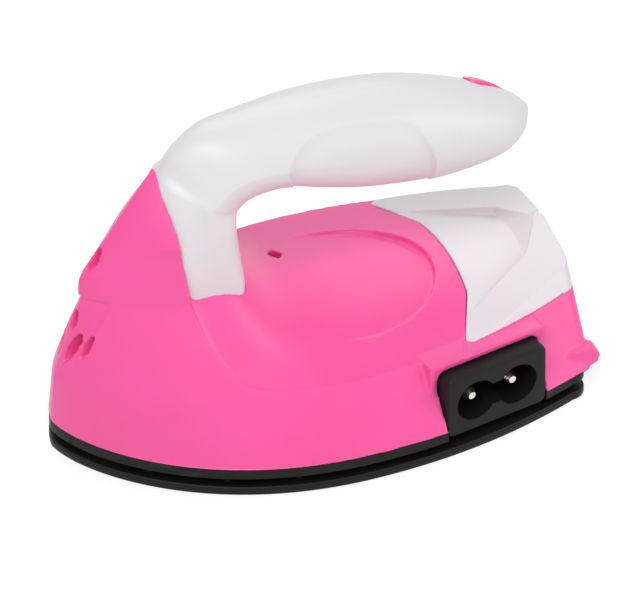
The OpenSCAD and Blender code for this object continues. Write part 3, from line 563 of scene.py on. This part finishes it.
def cover_space(name, gap):
    space = box(name, (X_HEEL - COVER_LEN - COVER_LEAD, -FAR, COVER_Z), (X_HEEL + FAR, FAR, LONG))
    middle = X_HEEL - COVER_LEN - COVER_ARC_R + gap
    arc = prism("arc", [(x + middle, y) for x, y in circle(COVER_ARC_R, 256)], 0, ARC_TOP)
    front = middle + math.sqrt(COVER_ARC_R ** 2 - FLARE_FROM ** 2)
    reach = (FAR - FLARE_FROM) * COVER_FLARE / FLARE_RUN
    for s in (-1, 1):
        near = FLARE_FROM * s
        edge = FAR * s
        corner = [(front, near), (front - reach, edge), (X_HEEL, edge), (X_HEEL, near)]
        combine(arc, prism("flare", corner, -PAST, ARC_TOP + PAST), "DIFFERENCE")
    return combine(space, arc, "DIFFERENCE")


# Shell
def shell_cavity():
    inner = shell_form("inner", SKIRT_Z - PAST, CAVITY_TOP_Z, WALL, step=1.6)
    combine(inner, deck_space(WALL), "DIFFERENCE")
    return combine(inner, prism("seat", post_ring(WALL), SOCKET_FLOOR - SEAT_T, LONG), "DIFFERENCE")


def inlet_rim():
    low = (-INLET_W / 2 - FRAME_RIM, INLET_PROUD, SKIRT_Z - INLET_AT[2])
    high = (INLET_W / 2 + FRAME_RIM, INLET_PROUD + FRAME_DEPTH, INLET_H / 2 + FRAME_RIM)
    return turned(box("rim", low, high), inlet_place())


def heel_foot(side):
    tab = prism("tab", [(-y, x) for x, y in stadium(FOOT_H, 2 * FOOT_H)], -FOOT_W / 2, FOOT_W / 2)
    turned(tab, about("X", 90))
    z = SKIRT_Z + FOOT_H / 2 + FOOT_LIFT
    return turned(tab, moved(X_HEEL + FOOT_REACH - FOOT_H, side * FOOT_Y, z))


def vent_slot(vent):
    oval = [(vent.width / 2 * x, vent.height / 2 * y) for x, y in circle(1)]
    slot = prism("slot", oval, -PAST, skin_x(vent.y, vent.z) + VENT_DEPTH - X_NOSE)
    turned(slot, about("Z", vent.tilt))
    turned(slot, about("Z", 90) @ about("X", 90))
    return turned(slot, moved(X_NOSE, vent.y, vent.z))


def window_space():
    diamond = [(-WINDOW_HALF_L, 0), (0, -WINDOW_HALF_W), (WINDOW_HALF_L, 0), (0, WINDOW_HALF_W)]
    return turned(prism("window", diamond, *WINDOW_CUT), moved(*WINDOW_AT))


def dish_space():
    angles = np.linspace(0, 2 * math.pi, DISH_SIDES + 1)[:-1]
    oval = [((math.cos(a) - 1) * DISH_LEN / 2, math.sin(a) * DISH_W / 2) for a in angles]
    rear_x = X_HEEL - COVER_LEN - DISH_BEHIND
    dish = turned(prism("dish", oval, *DISH_CUT), moved(rear_x, 0, 0))
    pivot_x = rear_x - DISH_RUN
    tilt = about("Y", math.degrees(math.atan(DISH_DEPTH / DISH_RUN)))
    floor = turned(deck_space(0), moved(pivot_x, 0, DECK_Z) @ tilt @ moved(-pivot_x, 0, -DECK_Z))
    return combine(dish, floor, "INTERSECT")


def press_facet(points):
    x, y, z = points.T
    side = np.clip((FACET_HALF_W - np.abs(y)) / FACET_SIDE_RUN, 0, 1)
    top = np.clip((FACET_TOP_Z - z) / FACET_TOP_RUN, 0, 1)
    fade = np.clip((z - FACET_LOW_Z) / (FACET_TOP_Z - FACET_LOW_Z), 0, 1)
    points[:, 0] += FACET_DEPTH * side * top * fade * (x < X_NOSE + FACET_REACH)


def make_shell():
    shell = shell_form("shell", SKIRT_Z - FOOT_MARGIN, PROW_Z, 0, step=0.8)
    combine(shell, deck_space(0), "DIFFERENCE")
    inner = shell_cavity()
    combine(shell, inlet_rim(), "UNION")
    combine(shell, inner, "DIFFERENCE")
    for side in (-1, 1):
        combine(shell, heel_foot(side), "UNION")
    combine(shell, cover_space("cover_cut", 0), "DIFFERENCE")
    combine(shell, prism("socket", post_ring(0), SOCKET_FLOOR, LONG), "DIFFERENCE")
    hole = turned(prism("hole", plate_outline(INLET_GAP), *INLET_CUT), about("X", 90))
    combine(shell, turned(hole, inlet_place()), "DIFFERENCE")
    for vent in VENTS:
        combine(shell, vent_slot(vent), "DIFFERENCE")
    combine(shell, window_space(), "DIFFERENCE")
    combine(shell, dish_space(), "DIFFERENCE")
    soften(shell, voxel=0.3, rounds=2)
    points = corners(shell)
    points[:, 2] = np.maximum(points[:, 2], SKIRT_Z + FOOT_LEVEL)
    press_facet(points)
    set_corners(shell, points)
    return smooth_shaded(shell, angle=60)


# Rear cover
def panel_space():
    front_x = X_HEEL - COVER_LEN - COVER_LEAD
    rear_x = X_HEEL - PANEL_REAR
    front_w = PANEL_FRONT_W + COVER_LEAD * (PANEL_FRONT_W - PANEL_REAR_W) / (COVER_LEN - PANEL_REAR)
    outline = [(front_x, -front_w), (rear_x, -PANEL_REAR_W), (X_HEEL - NOTCH_L, 0), (rear_x, PANEL_REAR_W),
               (front_x, front_w)]
    panel = prism("panel", outline, COVER_Z, LONG)
    combine(panel, deck_space(0), "INTERSECT")
    hip = box("hip", (-LONG, -FAR, 0), (LONG, FAR, LONG))
    turned(hip, moved(rear_x, 0, DECK_Z - HIP_RISE) @ about("Y", -HIP_ANGLE))
    return combine(panel, hip, "INTERSECT")


def make_cover():
    cover = shell_form("cover", COVER_Z, RIDGE_Z + COVER_FORM_RISE, 0, step=0.5)
    combine(cover, cover_space("region", COVER_GAP), "INTERSECT")
    for side in (-1, 1):
        roof = box("roof", (-LONG, -FAR, 0), (LONG, FAR, FAR))
        turn = about("Y", -ROOF_FALL_X) @ about("X", -side * ROOF_FALL_Y)
        combine(cover, turned(roof, moved(X_HEEL, 0, RIDGE_Z) @ turn), "DIFFERENCE")
    combine(cover, panel_space(), "DIFFERENCE")
    low = (X_HEEL - NOTCH_L, NOTCH_Y[0], RIDGE_Z - NOTCH_D)
    combine(cover, box("notch", low, (X_HEEL + 5 * PAST, NOTCH_Y[1], FAR)), "DIFFERENCE")
    soften(cover, voxel=0.22, rounds=3)
    return smooth_shaded(cover)


# Handle
def top_at(x, drop):
    return (X_NOSE + x, GRIP_TOP_Z - drop)


def low_at(x, rise):
    return (X_NOSE + x, GRIP_LOW_Z + rise)


def prow_at(z):
    return (prow_x(z) - PROW_SINK, z)


def wide_at(t):
    return blend(POST_HALF_W, GRIP_HALF_W, t)


# Stations from the post's foot to the grip's tip: upper point, lower point, half width, squareness, taper
STATIONS = [
    ((POST_FRONT - POST_SINK, SOCKET_FLOOR), (POST_REAR, SOCKET_FLOOR), POST_HALF_W, POST_SQUARE, 0),
    ((POST_FRONT - POST_SINK, MOUND_Z + 0.5), (POST_REAR, MOUND_Z + 0.5), POST_HALF_W, POST_SQUARE, 0),
    (prow_at(40), (POST_REAR - 0.9, 39.5), POST_HALF_W, 0.4, 0),
    (prow_at(48), low_at(33.6, 2.9), POST_HALF_W, 0.46, 0.15),
    (prow_at(54), low_at(34.5, 4.7), POST_HALF_W, 0.72, 0.4),
    (top_at(21.4, 7), low_at(35.4, 4.6), wide_at(0.1), 0.95, 0.47),
    (top_at(23.9, 3.9), low_at(37.3, 5.7), wide_at(0.05), 1, 0.41),
    (top_at(29.1, 1), low_at(40.4, 6.4), wide_at(0.1), 0.97, 0.27),
    (top_at(37.4, 0.2), low_at(44.3, 6.4), wide_at(0.3), 0.93, 0.22),
    (top_at(46.4, 0), low_at(49.4, 4.5), wide_at(0.7), 0.9, 0.1),
    (top_at(56.4, 0.8), low_at(57.9, 2), GRIP_HALF_W, 0.9, 0),
    (top_at(66.4, 2.1), low_at(67.4, 0.4), GRIP_HALF_W - 0.2, 0.92, 0),
    (top_at(76.4, 5.2), low_at(76.4, 0), GRIP_HALF_W - 1.2, 0.94, 0),
    (top_at(85.1, 9), low_at(85.1, 0.9), GRIP_HALF_W - 3.1, 0.96, 0),
    (top_at(89.7, 11.7), low_at(89.5, 3), GRIP_HALF_W - 5.8, 1, 0),
    (top_at(91.9, 13.9), low_at(91.9, 5.4), 0.9, 1, 0)]
LAST = len(STATIONS) - 1


# A smooth curve through the stations, at place f counted in stations
def station(f):
    i = min(LAST - 1, int(f))
    t = f - i
    p, q, r, s = [np.hstack(STATIONS[k]) for k in (max(0, i - 1), i, i + 1, min(LAST, i + 2))]
    second = 2 * p - 5 * q + 4 * r - s
    third = 3 * q - p - 3 * r + s
    return 0.5 * (2 * q + (r - p) * t + second * t ** 2 + third * t ** 3)


def scallop_share(f, a):
    behind = f > SCALLOP_MID
    d = abs(f - SCALLOP_MID) / (SCALLOP_REAR if behind else SCALLOP_FRONT)
    if d >= 1:
        return 0
    edge = SCALLOP_TOP_ANGLE + SCALLOP_FALL * d ** (REAR_FALL_POWER if behind else FRONT_FALL_POWER)
    t = min(1, max(0, (a - edge) / SCALLOP_EDGE))
    return t * (2 - t) * (1 - d * d / 2)


def front_square(f, square):
    return blend(POST_FRONT_SQUARE, square, max(0, min(1, (f - POST_END) / (NECK_END - POST_END))))


def half_ring(f, side, sides=120):
    s = station(f)
    mid = (s[0:2] + s[2:4]) / 2
    up = (s[0:2] - s[2:4]) / 2
    half_w, square, taper = s[4:7]
    ring = []
    for i in range(sides + 1):
        a = math.pi * i / sides
        p = front_square(f, square) if math.cos(a) > 0 else square
        h = power(math.cos(a), p)
        w = max(0, math.sin(a)) ** p * half_w * (1 - taper * max(0, h))
        cut = SCALLOP_DEPTH * scallop_share(f, math.degrees(a)) * max(0, math.sin(a))
        y = max(0, w - cut)
        ring.append((mid[0] + up[0] * h, side * (SEAM_HALF + y), mid[1] + up[1] * h))
    return ring


def button_hole():
    outline = [(y, x) for x, y in stadium(BUTTON_HOLE_W, BUTTON_HOLE_L)]
    place = moved(*BUTTON_AT) @ (about("Y", BUTTON_TURN_Y) @ about("X", BUTTON_TURN_X))
    return turned(prism("button_hole", outline, *BUTTON_HOLE_CUT), place)


def screw_bore(x, z):
    bore = turned(prism("bore", circle(BORE_R), BORE_FLOOR_Y, FAR), about("X", -90))
    return turned(bore, moved(x, 0, z))


def make_handle(name, side):
    half = loft(name, [half_ring(f, side) for f in np.arange(0, LAST + RING_STEP / 4, RING_STEP)])
    if side > 0:
        combine(half, button_hole(), "DIFFERENCE")
        for x, z in BORE_AT:
            combine(half, screw_bore(x, z), "DIFFERENCE")
    return smooth_shaded(half, angle=40)


# Skirt and soleplate
def ring_prism(name, outer, inner, low, high):
    band = prism(name, outer, low, high)
    return combine(band, prism("inside", inner, low - PAST, high + PAST), "DIFFERENCE")


def rib_space(name, front, rear):
    return box(name, (front, -FAR, 0), (rear, FAR, RIB_CUT_TOP))


def make_skirt():
    band = ring_prism("skirt", sole_outline(0), sole_outline(BAND_W), SLOT_Z, SKIRT_Z)
    ribs = ring_prism("ribs", sole_outline(RIB_INSET), sole_outline(BAND_W), PLATE_T, SLOT_Z + RIB_OVERLAP)
    keep = rib_space("keep", X_NOSE - PAST, X_NOSE + NOSE_RIB_LEN)
    x = X_NOSE + RIB_PITCH
    while x < HEEL_RIB_X:
        combine(keep, rib_space("rib", x - RIB_T / 2, x + RIB_T / 2), "UNION")
        x += RIB_PITCH
    combine(keep, rib_space("heel", HEEL_RIB_X - PAST, X_HEEL + 2 * PAST), "UNION")
    combine(ribs, keep, "INTERSECT")
    combine(band, ribs, "UNION")
    half_w = INLET_W / 2 + INLET_GAP
    hole = box("hole", (-half_w, SKIRT_CUT_Y[0], SKIRT_CUT_Z[0]), (half_w, SKIRT_CUT_Y[1], SKIRT_CUT_Z[1]))
    combine(band, turned(hole, inlet_place()), "DIFFERENCE")
    rounded(band, SKIRT_EDGE_R, segments=2)
    return smooth_shaded(band, angle=50)


def make_plate():
    plate = prism("plate", sole_outline(0), 0, PLATE_T)
    rounded(plate, PLATE_EDGE_R, segments=3)
    return smooth_shaded(plate, angle=50)


# Inlet
def make_inlet():
    body = turned(prism("inlet", plate_outline(0), -INLET_PROUD - WALL, 0), about("X", 90))
    rounded(body, INLET_EDGE_R, segments=3)
    low = (-HOUSING_HALF_W, HOUSING_BACK[0], -HOUSING_HALF_H)
    high = (HOUSING_HALF_W, HOUSING_BACK[1], HOUSING_HALF_H)
    combine(body, box("back", low, high), "UNION")
    for x in (-PIN_PITCH / 2, PIN_PITCH / 2):
        lobe = prism("lobe", [(x + px, py) for px, py in circle(SOCKET_R, 64)], -SOCKET_DEPTH, PAST)
        combine(body, turned(lobe, about("X", 90)), "DIFFERENCE")
    low = (-PIN_PITCH / 4, -PAST, -SOCKET_WAIST / 2)
    high = (PIN_PITCH / 4, SOCKET_DEPTH, SOCKET_WAIST / 2)
    combine(body, box("waist", low, high), "DIFFERENCE")
    turned(body, inlet_place())
    return smooth_shaded(body, angle=35)


# Pieces, each with its node, body and material slot
pieces = [
    (make_shell(), "body_shell", "iron", "pink_plastic"),
    (make_cover(), "rear_cover", "iron", "white_plastic"),
    (make_handle("handle_left_skin", -1), "handle_left", "iron", "white_plastic"),
    (make_handle("handle_right_skin", 1), "handle_right", "iron", "white_plastic"),
    (make_skirt(), "heat_skirt", "iron", "black_plastic"),
    (make_plate(), "soleplate", "iron", "coated_plate"),
    (make_inlet(), "inlet_housing", "iron", "black_plastic")]


# Materials
CLOUD_SCALE = 60
CLOUD_DETAIL = 3
CLOUD_LOW = 0.3
CLOUD_HIGH = 0.7
ROUGHNESS_DOWN = 0.04
ROUGHNESS_UP = 0.05
GRAIN_DETAIL = 2
RELIEF_DEPTH = 0.0001


def material(name, colour, roughness, grain, bump, metal=0.0, mottle=0.04, gloss=0.5):
    mat = bpy.data.materials.new(name)
    mat.use_nodes = True
    nodes = mat.node_tree.nodes
    links = mat.node_tree.links
    shader = nodes["Principled BSDF"]
    shader.inputs["Metallic"].default_value = metal
    shader.inputs["Specular IOR Level"].default_value = gloss
    place = nodes.new("ShaderNodeTexCoord")
    cloud = nodes.new("ShaderNodeTexNoise")
    cloud.inputs["Scale"].default_value = CLOUD_SCALE
    cloud.inputs["Detail"].default_value = CLOUD_DETAIL
    links.new(place.outputs["Object"], cloud.inputs["Vector"])
    ramp = nodes.new("ShaderNodeValToRGB")
    dark, light = ramp.color_ramp.elements
    dark.position = CLOUD_LOW
    light.position = CLOUD_HIGH
    dark.color = [c * (1 - mottle) for c in colour] + [1]
    light.color = [min(1, c * (1 + mottle)) for c in colour] + [1]
    links.new(cloud.outputs["Fac"], ramp.inputs["Fac"])
    links.new(ramp.outputs["Color"], shader.inputs["Base Color"])
    spread = nodes.new("ShaderNodeMapRange")
    spread.inputs["To Min"].default_value = roughness - ROUGHNESS_DOWN
    spread.inputs["To Max"].default_value = roughness + ROUGHNESS_UP
    links.new(cloud.outputs["Fac"], spread.inputs["Value"])
    links.new(spread.outputs["Result"], shader.inputs["Roughness"])
    fine = nodes.new("ShaderNodeTexNoise")
    fine.inputs["Scale"].default_value = grain
    fine.inputs["Detail"].default_value = GRAIN_DETAIL
    links.new(place.outputs["Object"], fine.inputs["Vector"])
    relief = nodes.new("ShaderNodeBump")
    relief.inputs["Strength"].default_value = bump
    relief.inputs["Distance"].default_value = RELIEF_DEPTH
    links.new(fine.outputs["Fac"], relief.inputs["Height"])
    links.new(relief.outputs["Normal"], shader.inputs["Normal"])
    return mat


# Colour, roughness, grain scale and bump strength of each slot, and what else it needs
LOOKS = {
    "pink_plastic": ((1.0, 0.098, 0.37), 0.36, 900, 0.15, {}),
    "white_plastic": ((0.8, 0.77, 0.8), 0.36, 900, 0.1, {"mottle": 0.015}),
    "black_plastic": ((0.008, 0.0075, 0.006), 0.45, 1400, 0.3, {"gloss": 0.2}),
    "coated_plate": ((0.008, 0.0075, 0.006), 0.4, 2200, 0.35, {"gloss": 0.2}),
    "nickel": ((0.78, 0.74, 0.68), 0.24, 1500, 0.1, {"metal": 1.0}),
    "brass": ((0.7, 0.5, 0.2), 0.3, 1500, 0.1, {"metal": 1.0}),
    "heater_metal": ((0.7, 0.69, 0.67), 0.35, 1500, 0.1, {"metal": 1.0}),
    "film": ((0.6, 0.35, 0.08), 0.35, 900, 0.1, {}),
    "steel": ((0.6, 0.6, 0.62), 0.3, 1500, 0.1, {"metal": 1.0}),
    "felt": ((0.8, 0.78, 0.72), 0.9, 1200, 0.8, {}),
    "clear": ((0.9, 0.35, 0.3), 0.15, 900, 0.05, {}),
    "board": ((0.12, 0.3, 0.14), 0.5, 900, 0.1, {}),
    "lead_brown": ((0.25, 0.12, 0.06), 0.5, 900, 0.1, {}),
    "lead_black": ((0.03, 0.03, 0.03), 0.5, 900, 0.1, {}),
    "lead_white": ((0.8, 0.8, 0.8), 0.5, 900, 0.1, {}),
    "lead_blue": ((0.06, 0.16, 0.4), 0.5, 900, 0.1, {})}
MATERIALS = {name: material(name, *look[:-1], **look[-1]) for name, look in LOOKS.items()}
for obj, node, body, slot in pieces:
    obj.data.materials.clear()
    obj.data.materials.append(MATERIALS[slot])
    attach(obj, body)
    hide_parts(node)
for entry in frame["record"]["subparts"]:
    node_object = frame["nodes"][entry["node"]]
    for place in node_object.material_slots:
        place.material = MATERIALS[entry["material_slot"]]

# Floor, light and camera, in metres, watts and degrees
FLOOR_HALF = 2
FLOOR_DROP = 0.0001
FLOOR_PLAIN = (0.8, 0.8, 0.8, 1)
FLOOR_SHADED = (0.4, 0.4, 0.4, 1)
FLOOR_ROUGHNESS = 0.9
FLOOR_GLOW = 0.72
WORLD_GLOW = 0.35
WHITE = (1, 1, 1, 1)
LAMP_AIM = (0, 0, 0.02)
Lamp = namedtuple("Lamp", "name place size watts")
LAMPS = [
    Lamp("key", (-0.35, -0.45, 0.7), 0.5, 3.95),
    Lamp("fill", (0.6, -0.4, 0.4), 0.5, 1.65),
    Lamp("back", (0.1, 0.6, 0.6), 0.6, 1.75)]
CAMERA_AZIMUTH = -22.9
CAMERA_ELEVATION = 38
CAMERA_AIM = Vector((X_NOSE + 51.67, 0, 17.5)) * MM
CAMERA_REACH = 4.8
SENSOR_W = 36
PICTURE_W = 637
PIXELS_PER_MM = 5.6


def seen_directly(tree):
    path = tree.nodes.new("ShaderNodeLightPath")
    total = path.outputs["Is Camera Ray"]
    for name in ("Is Glossy Ray", "Is Transmission Ray"):
        either = tree.nodes.new("ShaderNodeMath")
        either.operation = "MAXIMUM"
        tree.links.new(total, either.inputs[0])
        tree.links.new(path.outputs[name], either.inputs[1])
        total = either.outputs[0]
    return total


def choose_by_ray(tree, lighting, seen, output):
    choice = tree.nodes.new("ShaderNodeMixShader")
    tree.links.new(seen_directly(tree), choice.inputs[0])
    tree.links.new(lighting.outputs[0], choice.inputs[1])
    tree.links.new(seen.outputs[0], choice.inputs[2])
    tree.links.new(choice.outputs[0], tree.nodes[output].inputs["Surface"])


def make_floor():
    mesh = bpy.data.meshes.new("floor")
    places = [(x * FLOOR_HALF, y * FLOOR_HALF, 0) for x, y in ((-1, -1), (1, -1), (1, 1), (-1, 1))]
    mesh.from_pydata(places, [], [(0, 1, 2, 3)])
    floor = bpy.data.objects.new("floor", mesh)
    scene.collection.objects.link(floor)
    floor.location.z = -FLOOR_DROP
    mat = bpy.data.materials.new("floor")
    mat.use_nodes = True
    tree = mat.node_tree
    plain = tree.nodes["Principled BSDF"]
    plain.inputs["Base Color"].default_value = FLOOR_PLAIN
    plain.inputs["Roughness"].default_value = FLOOR_ROUGHNESS
    shaded = tree.nodes.new("ShaderNodeBsdfDiffuse")
    shaded.inputs["Color"].default_value = FLOOR_SHADED
    lit = tree.nodes.new("ShaderNodeEmission")
    lit.inputs["Strength"].default_value = FLOOR_GLOW
    bright = tree.nodes.new("ShaderNodeAddShader")
    tree.links.new(shaded.outputs[0], bright.inputs[0])
    tree.links.new(lit.outputs[0], bright.inputs[1])
    choose_by_ray(tree, plain, bright, "Material Output")
    mesh.materials.append(mat)


def make_world():
    world = bpy.data.worlds.new("world")
    scene.world = world
    world.use_nodes = True
    tree = world.node_tree
    soft = tree.nodes["Background"]
    soft.inputs["Color"].default_value = WHITE
    soft.inputs["Strength"].default_value = WORLD_GLOW
    white = tree.nodes.new("ShaderNodeBackground")
    white.inputs["Color"].default_value = WHITE
    white.inputs["Strength"].default_value = 1
    choose_by_ray(tree, soft, white, "World Output")


def make_lamp(lamp):
    data = bpy.data.lights.new(lamp.name, "AREA")
    data.energy = lamp.watts
    data.size = lamp.size
    obj = bpy.data.objects.new(lamp.name, data)
    obj.location = lamp.place
    obj.rotation_euler = (Vector(LAMP_AIM) - Vector(lamp.place)).to_track_quat("-Z", "Y").to_euler()
    scene.collection.objects.link(obj)


def make_camera():
    azimuth = math.radians(CAMERA_AZIMUTH)
    elevation = math.radians(CAMERA_ELEVATION)
    level = math.cos(elevation)
    away = Vector((math.sin(azimuth) * level, -math.cos(azimuth) * level, math.sin(elevation)))
    data = bpy.data.cameras.new("camera")
    data.sensor_width = SENSOR_W
    data.lens = SENSOR_W * CAMERA_REACH / (PICTURE_W / PIXELS_PER_MM * MM)
    obj = bpy.data.objects.new("camera", data)
    obj.location = CAMERA_AIM + away * CAMERA_REACH
    obj.rotation_euler = (-away).to_track_quat("-Z", "Y").to_euler()
    scene.collection.objects.link(obj)
    scene.camera = obj


make_floor()
make_world()
for lamp in LAMPS:
    make_lamp(lamp)
make_camera()
scene.view_settings.view_transform = "Standard"
